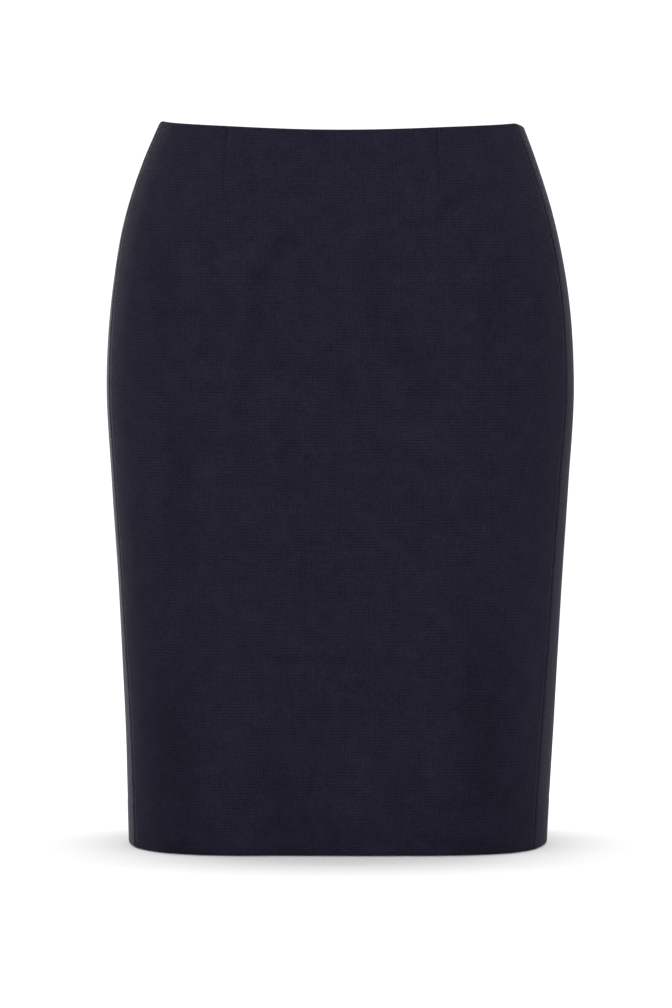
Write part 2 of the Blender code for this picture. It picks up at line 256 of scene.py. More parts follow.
def smooth_route(points):
    """A smooth curve through a crease's own points."""
    points = np.array(points, float)
    ends = [2 * points[0] - points[1], *points, 2 * points[-1] - points[-2]]
    made = []
    for t in np.linspace(0, len(points) - 1.0001, CREASE_STEPS):
        i = int(t)
        t -= i
        a, b, c, d = ends[i : i + 4]
        made.append(
            b + (c - a) * t / 2 + (2 * a - 5 * b + 4 * c - d) * t * t / 2
            + (3 * b - a - 3 * c + d) * t**3 / 2
        )
    return np.array(made)


def crease(route, half_width, height, across, depth):
    """A soft trough or ridge with low shoulders, which dies away at the ends of its route."""
    line = smooth_route(route)
    nearest = np.full(across.shape, np.inf)
    share = np.zeros(across.shape)
    for i, (start, end) in enumerate(zip(line, line[1:])):
        run = end - start
        t = ((across - start[0]) * run[0] + (depth - start[1]) * run[1]) / (run @ run)
        t = np.clip(t, 0, 1)
        gap = np.hypot(across - start[0] - t * run[0], depth - start[1] - t * run[1])
        closer = gap < nearest
        nearest = np.where(closer, gap, nearest)
        share = np.where(closer, (i + t) / (len(line) - 1), share)
    reach = nearest / half_width
    fade = np.sin(np.pi * np.clip(share, 0.02, 0.98)) ** 0.7
    if route[-1][1] > LENGTH - 10:  # it runs off the hem
        fade = np.where(share > 0.97, 1.0, fade)
    return height * fade * (bell(reach) - SHOULDER * bell((reach - 2.0) / 0.9))


def from_back(around, depth):
    """Distance round from the centre back, + to the wearer's left."""
    half = half_girth(depth)
    return np.where(around > 0, half - np.abs(around), np.abs(around) - half)


def creased(around, depth):
    """How far the creases alone lift or sink the cloth."""
    out = np.zeros(np.shape(around))
    for route, half_width, height in FRONT_CREASES:
        out += crease(route, half_width, height, around, depth)
    for route, half_width, height in BACK_CREASES:
        out += crease(route, half_width, height, from_back(around, depth), depth)
    return out


def swells(around, depth):
    """The low, wide waves of cloth that hangs."""
    narrow = np.sin(around / 29 + 1.4 * np.sin(depth / 61)) * np.sin(depth / 47 + 0.8)
    wide = np.sin(around / 53 - depth / 88 + 0.6) * ease(depth / 120)
    return 0.35 * narrow + 0.30 * wide


def seam_ridges(reach, around, depth, beat):
    """The ridges over a seam's pressed-open allowances, and the slight pucker of its stitches,
    which comes and goes with a beat. reach is how far from the seam the cloth lies."""
    pucker = np.sin(depth / beat * 2 * np.pi + 1.7 * np.sin(depth / 39) + np.sign(around))
    ridges = 0.55 * bell((reach - 3.0) / 4.5) + 0.22 * bell((reach - 10) / 6)
    return ridges + 0.11 * pucker * bell((reach - 4.0) / 5.0)


def dart_line(dart, level):
    return dart["waist"] + (dart["tip"] - dart["waist"]) * level / dart["depth"]


def sewn_along(dart, level):
    """1 along a dart, which dies away towards its tip."""
    return ease((dart["depth"] - level) / DART_FADE)


def dart_relief(dart, reach, depth):
    """A dart's sunk line, the ridges beside it, and the hollow around its tip. reach is how far
    from the centre the cloth lies."""
    off = np.abs(reach - dart_line(dart, depth))
    line = 0.30 * bell((off - 2.8) / 1.8) - 0.60 * bell(off / 0.95)
    from_tip = np.hypot(off, (depth - dart["depth"] - 4) * 0.6)
    return sewn_along(dart, depth) * line - 0.35 * bell(from_tip / 9)


def painted_dart_shade(distance, level, dart):
    """How much painted shade darkens the cloth in the groove along a dart's seam."""
    off = np.abs(np.abs(distance) - dart_line(dart, level))
    return 1.1 * sewn_along(dart, level) * bell(off / 0.9)


def relief(around, depth):
    """How far the cloth, dressed on the form, stands out from it."""
    by_side = np.abs(np.abs(around) - side_seam(depth))
    by_back = np.abs(from_back(around, depth))
    closed = ease((VENT_TOP - depth) / 10)
    past_hem_edge = depth - HEM_EDGE
    out = creased(around, depth) + swells(around, depth)
    out += seam_ridges(by_side, around, depth, 21.0)
    out += closed * seam_ridges(by_back, around, depth, 27.0)
    out += dart_relief(FRONT_DART, np.abs(around), depth)
    out += dart_relief(BACK_DART, by_back, depth)
    return out + 0.12 * ease(past_hem_edge / 3) - 0.10 * bell(past_hem_edge / 2.5)


BESIDE = 0.8  # how far to both sides the way that the form faces is taken from


def place(around, depth, inset):
    """Points of the cloth in metres: around from the centre front, depth down, inset inwards."""
    around, depth, inset = np.broadcast_arrays(around, depth, inset)
    x, y = form_point(depth, around - TURN)
    before = form_point(depth, around - TURN - BESIDE)
    after = form_point(depth, around - TURN + BESIDE)
    run_x, run_y = after[0] - before[0], after[1] - before[1]
    size = np.hypot(run_x, run_y)
    inwards = inset - relief(around, depth)
    x = x - run_y / size * inwards + along(FORM, "swing", depth)
    y = y + run_x / size * inwards
    return np.stack([x, y, -depth], axis=-1) * MM


def dipped(level, around):
    """The depth of a level of the cloth: the waist edge dips at the centre front and back, and
    sits lower over the left side seam than over the right."""
    seam = side_seam(0.0)
    half = half_girth(0.0)
    in_front = np.abs(around) < seam
    dip = np.where(in_front, FRONT_DIP, BACK_DIP)
    share = np.where(in_front, 1 - np.abs(around) / seam, (np.abs(around) - seam) / (half - seam))
    share = np.clip(share, 0, 1)
    low = LEFT_LOW * (1 + np.copysign(1 - share, around)) / 2
    fade = np.maximum(0.0, 1 - level / DIP_REACH) ** 2
    return level + (low + dip * np.sin(np.pi / 2 * share) ** DIP_SHAPE) * fade


def on_cloth(to_around, level, inset):
    """Points on levels of the cloth, where to_around gives the way round at each depth."""
    depth = dipped(level, to_around(level))
    return place(to_around(depth), depth, inset)


def off_back(side, distance):
    """The way round, at any depth, to what lies at a distance to one side of the centre back."""
    return lambda depth: side * (half_girth(depth) - distance)


def mouth(level):
    """Half the gap between the two edges at the centre back: the slider holds it open."""
    closing = ease((MOUTH_HOLD + MOUTH_CLOSE - level) / MOUTH_CLOSE)
    return SEAM_GAP / 2 + (MOUTH - SEAM_GAP / 2) * closing


# --- shaders ------------------------------------------------------------------------------------


class Tree:
    """Adds nodes to a node tree and joins them up."""

    def __init__(self, tree):
        self.nodes = tree.nodes
        self.links = tree.links

    def add(self, kind, inputs=(), **settings):
        node = self.nodes.new(kind)
        for name, value in settings.items():
            setattr(node, name, value)
        for name, value in dict(inputs).items():
            if isinstance(value, bpy.types.NodeSocket):
                self.links.new(value, node.inputs[name])
            else:
                node.inputs[name].default_value = value
        return node

    def math(self, operation, first, second=0.0):
        return self.add("ShaderNodeMath", {0: first, 1: second}, operation=operation).outputs[0]

    def times(self, first, second):
        return self.math("MULTIPLY", first, second)

    def noise(self, vector, scale, detail=2.0, roughness=0.5):
        values = {"Vector": vector, "Scale": scale, "Detail": detail, "Roughness": roughness}
        return self.add("ShaderNodeTexNoise", values).outputs["Fac"]

    def scaled(self, value, low, high, to_low=0.0, to_high=1.0):
        values = {"Value": value, 1: low, 2: high, 3: to_low, 4: to_high}
        return self.add("ShaderNodeMapRange", values).outputs[0]

    def mapped(self, vector, scale=(1, 1, 1), location=(0, 0, 0)):
        values = {"Vector": vector, "Scale": scale, "Location": location}
        return self.add("ShaderNodeMapping", values).outputs[0]

    def own_place(self):
        """The piece's own object coordinates, in metres."""
        return self.add("ShaderNodeTexCoord").outputs["Object"]

    def use(self, group, **inputs):
        return self.add("ShaderNodeGroup", inputs, node_tree=group).outputs

    def tinted(self, colour, shade):
        """A colour made lighter or darker by a factor that changes over the surface."""
        values = {"Vector": colour, "Scale": shade}
        return self.add("ShaderNodeVectorMath", values, operation="SCALE").outputs[0]

    def mixed(self, share, first, second):
        values = {0: share, 6: first, 7: second}
        return self.add("ShaderNodeMix", values, data_type="RGBA").outputs[2]

    def raised(self, height, strength, distance):
        """A surface raised by a height, at most by a distance in millimetres."""
        values = {"Height": height, "Strength": strength, "Distance": distance * MM}
        return self.add("ShaderNodeBump", values).outputs[0]


def settle(tree, sockets, linked, constants=()):
    """Links what changes over the surface to its sockets, and sets what stays the same."""
    for label, value in linked.items():
        tree.links.new(value, sockets[label])
    for label, value in dict(constants).items():
        sockets[label].default_value = value


def new_group(name, numbers, outputs):
    """An empty node group that takes a place and some numbers and gives numbers: the group, its
    tree, what it is given, and where its outputs go."""
    group = bpy.data.node_groups.new(name, "ShaderNodeTree")
    group.interface.new_socket("Place", in_out="INPUT", socket_type="NodeSocketVector")
    for label, value in numbers.items():
        socket = group.interface.new_socket(label, in_out="INPUT", socket_type="NodeSocketFloat")
        socket.default_value = value
    for label in outputs:
        group.interface.new_socket(label, in_out="OUTPUT", socket_type="NodeSocketFloat")
    tree = Tree(group)
    return group, tree, tree.add("NodeGroupInput").outputs, tree.add("NodeGroupOutput").inputs


WEFT_PITCH = 1.25  # of the warp's


@functools.lru_cache(maxsize=None)
def weave_group():
    """A basket weave of paired threads, with thick and thin places. Its place is in metres."""
    group, tree, given, out = new_group(
        "basket_weave", {"Pitch": 0.0012, "Unevenness": 0.3}, ("Height", "Slub", "Gap")
    )
    wander = tree.noise(given["Place"], 90.0, 1.0)
    shift = tree.times(tree.math("SUBTRACT", wander, 0.5), given["Unevenness"])
    split = tree.add("ShaderNodeSeparateXYZ", {"Vector": given["Place"]}).outputs

    def wave(axis, turns):
        pitch = tree.times(given["Pitch"], (1.0, WEFT_PITCH)[axis])
        steps = tree.math("ADD", tree.math("DIVIDE", split[axis], pitch), shift)
        return tree.math("SINE", tree.times(steps, turns * math.pi))

    over = tree.math("GREATER_THAN", tree.times(wave(0, 1), wave(1, 1)), 0.0)
    warp = tree.math("ABSOLUTE", wave(0, 2))
    weft = tree.math("ABSOLUTE", wave(1, 2))
    arch = tree.times(tree.math("ABSOLUTE", wave(0, 1)), 0.4)
    warp_height = tree.math("ADD", tree.times(warp, 0.6), arch)
    weft_height = tree.math("ADD", tree.times(weft, 0.55), arch)
    height = tree.add("ShaderNodeMix", {0: over, 2: weft_height, 3: warp_height}).outputs[0]
    # The sunk gaps between the cells, which the cloth's colour darkens as painted shade
    gaps = []
    slubs = []
    for axis, stretch, start, least in ((0, (8, 1, 1), 0.0, 0.05), (1, (1, 8, 1), 3.0, 0.30)):
        edge = tree.scaled(tree.math("ABSOLUTE", wave(axis, 1)), 0.05, 0.75, 1.0, 0.0)
        moved = tree.mapped(given["Place"], location=(start, 0, 0))
        open_ = tree.scaled(tree.noise(moved, 70.0), 0.38, 0.62, least, 1.0)
        gaps.append(tree.times(edge, open_))
        slubs.append(tree.noise(tree.mapped(given["Place"], stretch), 110.0, 3.0))
    gap = tree.math("MAXIMUM", *gaps)
    slub = tree.times(tree.math("ADD", *slubs), 0.5)
    settle(tree, out, {"Height": height, "Gap": gap, "Slub": slub})
    return group


@functools.lru_cache(maxsize=None)
def nap_group():
    """A brushed surface: short fibres that lie mostly down the cloth, soft clouds where they lie
    another way, and a few stray flecks of lint."""
    group, tree, given, out = new_group(
        "brushed_nap", {"Fibre": 0.0006, "Lint": 0.0}, ("Fibres", "Clouds", "Lint")
    )
    brushed = tree.mapped(given["Place"], (1.0, 1.0, 0.45))
    per_metre = tree.math("DIVIDE", 1.0, given["Fibre"])
    fibres = tree.noise(brushed, per_metre, 3.0, 0.65)
    wide = tree.noise(given["Place"], 22.0)
    patch = tree.noise(brushed, 85.0, 3.0, 0.6)
    clouds = tree.math("ADD", tree.times(wide, 0.5), tree.times(patch, 0.5))
    specks = tree.add(
        "ShaderNodeTexVoronoi", {"Vector": given["Place"], "Scale": 85.0, "Randomness": 1.0}
    )
    near = tree.math("LESS_THAN", specks.outputs["Distance"], 0.024)
    rare = tree.add("ShaderNodeSeparateXYZ", {"Vector": specks.outputs["Color"]}).outputs[0]
    few = tree.math("LESS_THAN", rare, given["Lint"])
    settle(tree, out, {"Fibres": fibres, "Clouds": clouds, "Lint": tree.times(near, few)})
    return group


@functools.lru_cache(maxsize=None)
def wear_group():
    """Wear of a lacquered casting: fine scratches, and a cloudiness that breaks up its gloss."""
    group, tree, given, out = new_group(
        "lacquer_wear", {"Scratches": 0.5}, ("Scratch", "Haze", "Worn")
    )
    lines = tree.noise(tree.mapped(given["Place"], (9.0, 9.0, 1.0)), 700.0, roughness=0.7)
    scratch = tree.times(tree.scaled(lines, 0.62, 0.72), given["Scratches"])
    haze = tree.noise(given["Place"], 900.0, 3.0)
    edge = tree.add("ShaderNodeNewGeometry").outputs["Pointiness"]
    spotty = tree.times(tree.noise(given["Place"], 1500.0), 0.06)
    worn = tree.scaled(tree.math("ADD", edge, spotty), 0.56, 0.62)
    settle(tree, out, {"Scratch": scratch, "Haze": haze, "Worn": worn})
    return group


def new_material(name):
    made = bpy.data.materials.new(name)
    made.use_nodes = True
    return made, Tree(made.node_tree), made.node_tree.nodes["Principled BSDF"].inputs


def cloth_material(name, colour, pitch, fibre, bumps, lint, sheen):
    """A napped cloth. The weave follows the cut's own flat map, with its pitch and its fibres in
    metres, and bumps gives their height in millimetres."""
    made, tree, shader = new_material(name)
    flat = tree.add("ShaderNodeUVMap", uv_map="cut").outputs["UV"]
    weave = tree.use(weave_group(), Place=flat, Pitch=pitch, Unevenness=0.5)
    nap = tree.use(nap_group(), Place=tree.own_place(), Fibre=fibre, Lint=lint)
    # Painted shade in the creases' troughs and along the dart seams, and painted highlight on the
    # creases' ridges, from the panels' own attribute
    worn = tree.add("ShaderNodeAttribute", attribute_name="worn").outputs["Fac"]

    # What lightens or darkens the cloth, its lowest and highest value, and the factor at each
    # Painted highlight on the weave's raised threads and, next, painted shade in its sunk gaps
    shade = tree.scaled(weave["Height"], 0.0, 1.0, 0.84, 1.14)
    for value, low, high, at_low, at_high in (
        (weave["Gap"], 0.0, 1.0, 1.08, 0.54),
        (weave["Slub"], 0.36, 0.64, 0.84, 1.16),
        (nap["Fibres"], 0.3, 0.7, 0.72, 1.28),
        (nap["Clouds"], 0.35, 0.65, 0.93, 1.07),
        # the creases' painted shade in troughs and along the darts, and their painted highlight on
        # ridges
        (worn, -1.2, 0.9, 0.76, 1.12),
    ):
        shade = tree.times(shade, tree.scaled(value, low, high, at_low, at_high))
    threads_up = tree.times(weave["Height"], 0.6)
    fuzz = tree.times(nap["Fibres"], 0.8)
    lint_colour = (0.09, 0.087, 0.10, 1.0)
    linked = {
        "Base Color": tree.mixed(nap["Lint"], tree.tinted(colour, shade), lint_colour),
        "Roughness": tree.scaled(nap["Fibres"], 0.3, 0.7, 0.98, 0.86),
        "Normal": tree.raised(tree.math("ADD", threads_up, fuzz), 0.55, bumps),
    }
    constants = {
        "Specular IOR Level": 0.08,
        "Specular Tint": (0.88, 0.76, 1.0, 1.0),
        "Sheen Weight": sheen,
        "Sheen Roughness": 0.16,
        "Sheen Tint": (0.92, 0.78, 1.0, 1.0),
    }
    settle(tree, shader, linked, constants)
    return made


def suiting():
    colour = (0.0097, 0.0088, 0.0168)
    woven = {"pitch": 0.0018, "fibre": 0.0009, "bumps": 0.25}
    return cloth_material("suiting", colour, lint=0.04, sheen=0.16, **woven)


def tape_cloth():
    colour = (0.0120, 0.0110, 0.0190)
    woven = {"pitch": 0.0005, "fibre": 0.0004, "bumps": 0.10}
    return cloth_material("tape_cloth", colour, lint=0.0, sheen=0.04, **woven)


def mottled(name, colour, mottle, shades, roughness, bumps, constants):
    """A plain finish whose colour, gloss and surface all change with one fine mottle, given as its
    scale and its detail. bumps gives their strength and their height in millimetres."""
    made, tree, shader = new_material(name)
    spots = tree.noise(tree.own_place(), *mottle)
    linked = {
        "Base Color": tree.tinted(colour, tree.scaled(spots, 0.3, 0.7, *shades)),
        "Roughness": tree.scaled(spots, 0.3, 0.7, *roughness),
        "Normal": tree.raised(spots, *bumps),
    }
    settle(tree, shader, linked, constants)
    return made


def thread():
    """Twisted polyester sewing thread."""
    colour = (0.022, 0.020, 0.034)
    dull = {"Specular IOR Level": 0.3}
    return mottled("thread", colour, (2600.0, 2.0), (0.7, 1.3), (0.45, 0.7), (0.5, 0.06), dull)


def nylon():
    """The zip's coil: dyed nylon, slightly shiny."""
    colour = (0.016, 0.015, 0.024)
    return mottled("nylon", colour, (1400.0, 3.0), (0.85, 1.2), (0.34, 0.5), (0.2, 0.03), {})


def lacquer():
    """Dark navy lacquer over a zinc casting, rubbed through on its edges."""
    made, tree, shader = new_material("lacquer")
    wear = tree.use(wear_group(), Place=tree.own_place(), Scratches=0.5)
    shade = tree.scaled(wear["Haze"], 0.3, 0.7, 0.9, 1.12)
    lacquered = tree.tinted((0.019, 0.018, 0.028), shade)
    zinc = (0.20, 0.20, 0.22, 1.0)
    gloss = tree.scaled(wear["Haze"], 0.3, 0.7, 0.28, 0.40)
    height = tree.math("SUBTRACT", wear["Haze"], wear["Scratch"])
    linked = {
        "Base Color": tree.mixed(tree.times(wear["Worn"], 0.5), lacquered, zinc),
        "Roughness": tree.math("ADD", gloss, wear["Scratch"]),
        "Metallic": tree.scaled(wear["Worn"], 0.0, 1.0, 0.25, 0.8),
        "Normal": tree.raised(height, 0.15, 0.04),
    }
    settle(tree, shader, linked, {"Coat Roughness": 0.15, "Coat Weight": 0.35})
    return made


# --- modelling by hand --------------------------------------------------------------------------


def only(obj):
    bpy.ops.object.select_all(action="DESELECT")
    obj.select_set(True)
    bpy.context.view_layer.objects.active = obj


def applied(obj, kind, **settings):
    """Gives an object one modifier and applies it."""
    only(obj)
    step = obj.modifiers.new(kind.title(), kind)
    for name, value in settings.items():
        setattr(step, name, value)
    bpy.ops.object.modifier_apply(modifier=step.name)
    return obj


def finished(obj, name, finish, crisp=40.0):
    """Names a piece, gives it its finish and shades it smooth up to its crisp edges."""
    only(obj)
    obj.name = obj.data.name = name
    obj.data.materials.clear()
    obj.data.materials.append(finish)
    bpy.ops.object.transform_apply(location=True, rotation=True, scale=True)
    bpy.ops.object.shade_smooth_by_angle(angle=math.radians(crisp))
    return obj


def joined(objects):
    only(objects[0])
    for obj in objects:
        obj.select_set(True)
    bpy.ops.object.join()
    return bpy.context.object


def primitive(add, **settings):
    """One of Blender's own meshes, with its place, turn and size applied."""
    bpy.ops.object.select_all(action="DESELECT")
    add(**settings)
    bpy.ops.object.transform_apply(location=True, rotation=True, scale=True)
    return bpy.context.object


def select_in(mesh, kind, chosen):
    """Goes into edit mode with some of a mesh's vertices or polygons selected and nothing else."""
    for group in (mesh.vertices, mesh.edges, mesh.polygons):
        group.foreach_set("select", np.zeros(len(group), bool))
    getattr(mesh, kind).foreach_set("select", chosen)
    by_vertex = kind == "vertices"
    bpy.context.tool_settings.mesh_select_mode = (by_vertex, False, not by_vertex)
    bpy.ops.object.mode_set(mode="EDIT")


def woven_sheet(name, points, flat, thickness, finish, kept=None, worn=None):
    """A sheet of cloth on a grid of points. Only the kept faces stay, what meets is sewn into one
    surface, and the wall gets its thickness. flat is each point's place in the cut, in
    millimetres. The last argument is how far a crease lifts or sinks each point, which the
    cloth's colour turns into painted shade in troughs and painted highlight on ridges."""
    rows, columns = points.shape[0] - 1, points.shape[1] - 1
    grid = bpy.ops.mesh.primitive_grid_add
    obj = primitive(grid, x_subdivisions=columns, y_subdivisions=rows, size=1)
    mesh = obj.data
    mesh.vertices.foreach_set("co", points.ravel())
    mesh.uv_layers[0].name = "cut"
    corners = np.empty(len(mesh.loops), int)
    mesh.loops.foreach_get("vertex_index", corners)
    cut = np.stack(flat, -1).reshape(-1, 2) * MM
    mesh.uv_layers["cut"].data.foreach_set("uv", cut[corners].ravel())
    # The attribute from which the cloth's colour paints shade in the creases' troughs and highlight
    # on their ridges
    if worn is not None:
        mesh.attributes.new("worn", "FLOAT", "POINT").data.foreach_set("value", worn.ravel())
    left_out = np.zeros((rows, columns), bool) if kept is None else ~kept
    select_in(mesh, "polygons", left_out.ravel())
    bpy.ops.mesh.delete(type="FACE")
    bpy.ops.mesh.select_all(action="SELECT")
    bpy.ops.mesh.remove_doubles(threshold=0.02 * MM)
    bpy.ops.mesh.select_all(action="SELECT")
    bpy.ops.mesh.fill_holes(sides=2 * FOLD_STEPS + 2)
    bpy.ops.mesh.normals_make_consistent(inside=False)
    bpy.ops.object.mode_set(mode="OBJECT")
    applied(obj, "SOLIDIFY", thickness=thickness * MM, offset=0.0, use_even_offset=True)
    return finished(obj, name, finish)


def stepped(stops, step):
    """Levels from stop to stop, evenly spread between them and no further apart than a step."""
    levels = [stops[0]]
    for low, high in zip(stops, stops[1:]):
        count = math.ceil((high - low) / step - 1e-6)
        levels += [low + (high - low) * (i + 1) / count for i in range(count)]
    return levels


def spread(line, near_low, near_high, even):
    """Columns from one construction line to the next, as (line, share, shift): close together by
    the lines and even between."""
    low, high = near_low[-1], near_high[-1]
    columns = [(line, 0.0, offset) for offset in near_low]
    for step in range(1, even):
        share = step / even
        columns.append((line, share, low * (1 - share) - high * share))
    return columns + [(line, 1.0, -offset) for offset in reversed(near_high)]


def folded_under(faces, count, way):
    """Columns that turn round a fold and run back under the first count columns of the face."""
    turned = [(*faces[0], turn, way) for turn in FOLD[1:-1]]
    return turned + [(*column, math.pi, way) for column in faces[:count]]


def with_folds(plain, low_count):
    """A panel's columns with those of the folds at its two edges, and how many the low edge has."""
    low = folded_under(plain, low_count, -1)[::-1]
    high = folded_under(plain[::-1], len(BY_SEAM), 1)
    return low + [(*column, 0.0, 0) for column in plain] + high, len(low)


RAW_STRIP = 0.6  # the narrow row of faces just past a raw edge
LEVELS = stepped(
    (TOP, 2.0, 4.0, 8.0, WAIST_TURNING, WAIST_TURNING + RAW_STRIP, VENT_TOP - 3.0, VENT_TOP,
     HEM_EDGE - RAW_STRIP, HEM_EDGE, LENGTH - 8.0, LENGTH - 3.0, BOTTOM), GRID,
)


def panel_rows():
    """(level, turn, way) down a panel: turned-in waist edge, outside, turned-up hem."""
    waist = [(level, math.pi, -1) for level in LEVELS[::-1] if level <= WAIST_TURNING]
    top = [(TOP, turn, -1) for turn in FOLD[-2:0:-1]]
    outside = [(level, 0.0, 0) for level in LEVELS]
    bottom = [(BOTTOM, turn, 1) for turn in FOLD[1:-1]]
    hem = [(level, math.pi, 1) for level in LEVELS[::-1] if level >= HEM_EDGE - 0.1]
    return waist + top + outside + bottom + hem


def laid_out(columns, lines, to_around, dart, under_lap=None, step_in=None):
    """Where a panel's cloth lies: a dictionary of grids, with a row for each of panel_rows. lines
    gives the distances of the construction lines, and to_around the way round at a distance."""
    rows = np.array(panel_rows())
    level = np.repeat(rows[:, :1], len(columns), axis=1)
    turn_down, way_down = rows[:, 1:2], rows[:, 2:3]
    line, share, shift, turn, way = np.array(columns).T
    line = line.astype(int)
    flat_level = level + way_down * RADIUS * np.sin(turn_down)
    each = np.arange(len(columns))

    def across(depth):
        at = np.array(lines(level, depth))
        low, high = at[line, :, each].T, at[line + 1, :, each].T
        found = low * (1 - share) + high * share + shift + way * RADIUS * np.sin(turn)
        return found if under_lap is None else under_lap(found, level)

    depth = dipped(flat_level, to_around(across(flat_level), flat_level))
    distance = across(depth)
    inset = RADIUS * (1 - np.cos(turn_down)) + RADIUS * (1 - np.cos(turn))
    if under_lap is not None:
        lapped = (turn > 0) & (way < 0) & (level >= VENT_TOP)
        inset = np.where(lapped, RADIUS * (1 - np.cos(turn_down)), inset)
        inset = inset + step_in(depth, distance)
    return {
        "level": level,
        "distance": distance,
        "points": place(to_around(distance, depth), depth, inset),
        # Lift or sink of the creases, less a line along the darts, which the cloth's colour turns
        # into painted shade and painted highlight
        "worn": creased(to_around(distance, depth), depth) - painted_dart_shade(distance, level, dart),
        "flat": (distance + way * RADIUS * turn, level + way_down * RADIUS * turn_down),
        "row": kinds(rows[:, 1], rows[:, 2])[:, None],
        "column": kinds(turn, way)[None, :],
    }


def kinds(turn, way):
    """What lies between each neighbouring two rows, or columns: 0 is the face of the cloth, 1 a
    fold and 2 the layer under it, negative at the low end."""
    both = np.minimum(turn[1:], turn[:-1]) > math.pi - 0.01
    one = np.maximum(turn[1:], turn[:-1]) > 0.01
    sign = np.sign(way[1:] + way[:-1])
    return np.where(both, 2, np.where(one, 1, 0)) * sign.astype(int)


def between(grid, of):
    """A value for each face of a grid: the mean, the least or the most of its corners."""
    return of([grid[1:, 1:], grid[1:, :-1], grid[:-1, 1:], grid[:-1, :-1]], axis=0)


def seam_kept(made, end):
    """The faces of a side seam's fold and allowance that a panel keeps."""
    level = between(made["level"], np.mean)
    outside = made["row"] == 0
    pressed = (level > WAIST_TURNING + 0.5) & (level < HEM_EDGE - 0.5)
    fold, under = made["column"] == end, made["column"] == 2 * end
    return (fold & outside) | (under & outside & pressed)


def panel(name, made, kept, finish):
    return woven_sheet(name, made["points"], made["flat"], CLOTH, finish, kept, made["worn"])


def make_front(finish):
    edge_to_dart = spread(0, BY_SEAM, BY_DART, 24)
    middle = spread(1, BY_DART, BY_DART, 38)
    dart_to_edge = spread(2, BY_DART, BY_SEAM, 24)
    plain = edge_to_dart[:-1] + middle[:-1] + dart_to_edge
    columns, _ = with_folds(plain, len(BY_SEAM))

    def lines(level, depth):
        edge = side_seam(depth) - SEAM_GAP / 2 - LIP
        dart = dart_line(FRONT_DART, level)
        return -edge, -dart, dart, edge

    made = laid_out(columns, lines, lambda distance, _: distance, FRONT_DART)
    face = np.broadcast_to(made["column"] == 0, between(made["level"], np.mean).shape)
    kept = face | seam_kept(made, -1) | seam_kept(made, 1)
    return panel("front", made, kept, finish)


def make_back(name, side, finish):
    """A back panel, with the distances measured from the centre back."""
    spans = (
        spread(0, BY_SEAM, BY_LINE, 1),
        spread(1, BY_LINE, BY_LINE, 7),
        spread(2, BY_LINE, BY_DART, 10),
        spread(3, BY_DART, BY_SEAM, 26),
    )
    plain = spans[0][:-1] + spans[1][:-1] + spans[2][:-1] + spans[3]
    to_allowance = len(spans[0])
    to_facing = to_allowance + len(spans[1]) - 1
    columns, extra = with_folds(plain, to_facing if side > 0 else to_allowance)

    def lines(level, depth):
        reach = half_girth(depth) - side_seam(depth) - SEAM_GAP / 2 - LIP
        still = np.ones_like(level)
        dart = dart_line(BACK_DART, level)
        return mouth(level) + LIP, ALLOWANCE * still, VENT_FACING * still, dart, reach

    def to_around(distance, depth):
        return off_back(side, distance)(depth)

    def under_lap(found, level):
        """Below the vent's top the columns of the fold and allowance carry on as the underlap."""
        edge = found[:, extra : extra + 1]
        on = np.arange(extra, 0, -1) / extra
        lap = edge - (edge + UNDERLAP) * on
        found[:, :extra] = np.where(level[:, :extra] >= VENT_TOP, lap, found[:, :extra])
        return found

    def step_in(depth, distance):
        inwards = ease((depth - VENT_TOP + UNDERLAP_RISE) / UNDERLAP_RISE)
        return UNDERLAP_INSET * inwards * ease((UNDERLAP_STEP - distance) / UNDERLAP_STEP)

    if side > 0:
        made = laid_out(columns, lines, to_around, BACK_DART)
    else:
        made = laid_out(columns, lines, to_around, BACK_DART, under_lap, step_in)

    distance = between(made["distance"], np.mean)
    outside, waist, hem = made["row"] == 0, made["row"] == -2, made["row"] == 2
    fold, under = made["column"] == -1, made["column"] == -2
    face = (made["column"] == 0) & ~(waist & (distance < ALLOWANCE))
    vented = between(made["level"], np.min) > VENT_TOP - 0.1
    if side > 0:
        face &= ~(hem & (distance < VENT_FACING))
        centre = (fold & outside) | (under & outside & (vented | (distance < ALLOWANCE)))
    else:
        above = between(made["level"], np.max) < VENT_TOP - 0.1
        centre = (fold | under) & ((outside & above) | vented)
    kept = face | centre | seam_kept(made, 1)
    return panel(name, made, kept, finish)


# --- inside the skirt ---------------------------------------------------------------------------


def make_tuck(name, dart, side, finish):
    """The cloth that a dart takes in, pressed flat towards the centre: two layers that narrow to
    the dart's tip. Each point of its outline is (share of the width, inset, bulge of the fold)."""
    levels = np.array(stepped((WAIST_TURNING + 1.0, dart["depth"] - 4.0), GRID))
    radius = 0.9 * RADIUS
    near, far = CLOTH + 0.06, 2 * CLOTH + 0.12
    outline = [(0.0, 0.75, 0.0), (0.12, near, 0.0), (0.5, near, 0.0)]
    outline += [(1.0, near + radius * (1 - math.cos(turn)), math.sin(turn)) for turn in FOLD]
    outline += [(0.5, far, 0.0), (0.06, far, 0.0)]
    share, inset, bulge = np.array(outline).T
    level = levels[:, None] + 0 * share
    width = dart["intake"] * (1 - levels / dart["depth"])[:, None]
    offset = width * share + radius * bulge * np.minimum(1, width / 3)
    distance = dart_line(dart, level) - offset
    to_around = off_back(side, distance) if dart is BACK_DART else lambda _: side * distance
    points = on_cloth(to_around, level, inset)
    return woven_sheet(name, points, (offset + 10 * inset, level), 0.9 * CLOTH, finish)


STITCH = 2.4  # of the overlocking, along the edge
WIDE = 3.4  # across it
THREAD_RADIUS = 0.17
STITCH_RADIUS = 0.14


